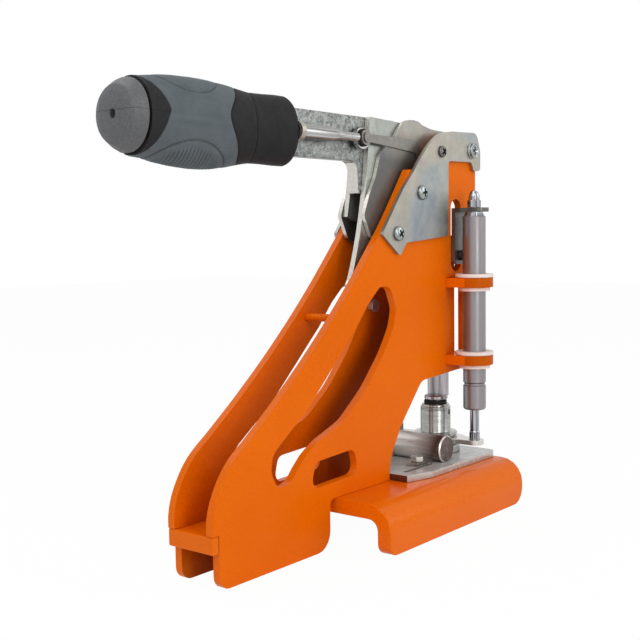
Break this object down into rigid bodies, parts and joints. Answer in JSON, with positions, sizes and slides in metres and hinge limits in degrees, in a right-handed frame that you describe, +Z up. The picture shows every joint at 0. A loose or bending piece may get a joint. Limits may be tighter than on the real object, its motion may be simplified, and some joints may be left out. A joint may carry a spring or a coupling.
{
  "type": "hand grommet press",
  "caption": "Bench press worked by a hand lever: the lever lowers a guided ram that sets eyelets and grommets on a die, with spring columns beside it.",
  "frame": {"origin": "on the table, under the middle of the bounding box", "axes": "+X from the grip towards the tools, +Y across the press away from the side with the eye rod, +Z up"},
  "size_m": [0.3955, 0.14, 0.3365],
  "materials": {
    "orange_paint": "fine-grained orange powder coat",
    "zinc_plate": "zinc plated sheet, slightly cloudy",
    "galvanised_steel": "galvanised flat bar",
    "bright_steel": "turned and ground steel",
    "satin_tube": "satin",
    "chrome": "polished",
    "nylon": "plain off-white",
    "black_rubber": "matt moulded",
    "grey_rubber": "matt moulded"
  },
  "bodies": {
    "frame": {"bar_screw_far": "bright_steel", "bar_screw_near": "bright_steel", "base_plate": "orange_paint", "cover_screw_far_1": "bright_steel", "cover_screw_far_2": "bright_steel", "cover_screw_far_3": "bright_steel", "cover_screw_near_1": "bright_steel", "cover_screw_near_2": "bright_steel", "cover_screw_near_3": "bright_steel", "die_plate": "zinc_plate", "guide_bush_lower_far": "nylon", "guide_bush_lower_near": "nylon", "guide_bush_upper_far": "nylon", "guide_bush_upper_near": "nylon", "guide_plate_lower": "orange_paint", "guide_plate_upper": "orange_paint", "head_cheek_far": "zinc_plate", "head_cheek_near": "zinc_plate", "head_cover_far": "zinc_plate", "head_cover_near": "zinc_plate", "lower_die": "bright_steel", "pivot_bolt": "bright_steel", "pivot_nut": "bright_steel", "plate_screw_far": "bright_steel", "side_plate_far": "orange_paint", "side_plate_near": "orange_paint", "stop_bar": "bright_steel", "tie_rod": "orange_paint"},
    "lever": {"crank_pin": "bright_steel", "eye_pin": "bright_steel", "eye_rod": "chrome", "grip_body": "grey_rubber", "grip_cap": "black_rubber", "grip_ferrule": "black_rubber", "lever_arm": "galvanised_steel", "lever_web_far": "galvanised_steel", "lever_web_near": "galvanised_steel", "link_bar": "bright_steel", "rod_collar": "zinc_plate", "rubber_ring": "black_rubber"},
    "ram": {"acorn_nut_far": "chrome", "acorn_nut_near": "chrome", "bracket_screw_far": "bright_steel", "bracket_screw_near": "bright_steel", "column_bracket_far": "zinc_plate", "column_bracket_near": "zinc_plate", "column_gland_far": "satin_tube", "column_gland_near": "satin_tube", "column_spring_far": "bright_steel", "column_spring_near": "bright_steel", "column_tube_far": "satin_tube", "column_tube_near": "satin_tube", "ram": "bright_steel", "tool_holder": "bright_steel", "tool_seal_ring": "black_rubber", "upper_die": "bright_steel"},
    "stripper": {"plunger_far": "chrome", "plunger_near": "chrome", "stripper_plate": "zinc_plate"}
  },
  "joints": [
    {"name": "lever_swing", "type": "hinge", "parent": "frame", "child": "lever", "pos_m": [0.18375, 0, 0.305], "axis": [0, 1, 0], "range_deg": [0, 75]},
    {"name": "ram_slide", "type": "slide", "parent": "frame", "child": "ram", "axis": [0, 0, 1], "range_m": [0, 0.035]},
    {"name": "stripper_slide", "type": "slide", "parent": "ram", "child": "stripper", "axis": [0, 0, -1], "range_m": [0, 0.012], "deforming": ["column_spring_near", "column_spring_far"]}
  ],
  "couplings": [
    {"joint": "ram_slide", "follows": "lever_swing", "m_per_rad": 0.02673},
    {"joint": "stripper_slide", "follows": "lever_swing", "m_per_rad": 0.00916}
  ]
}
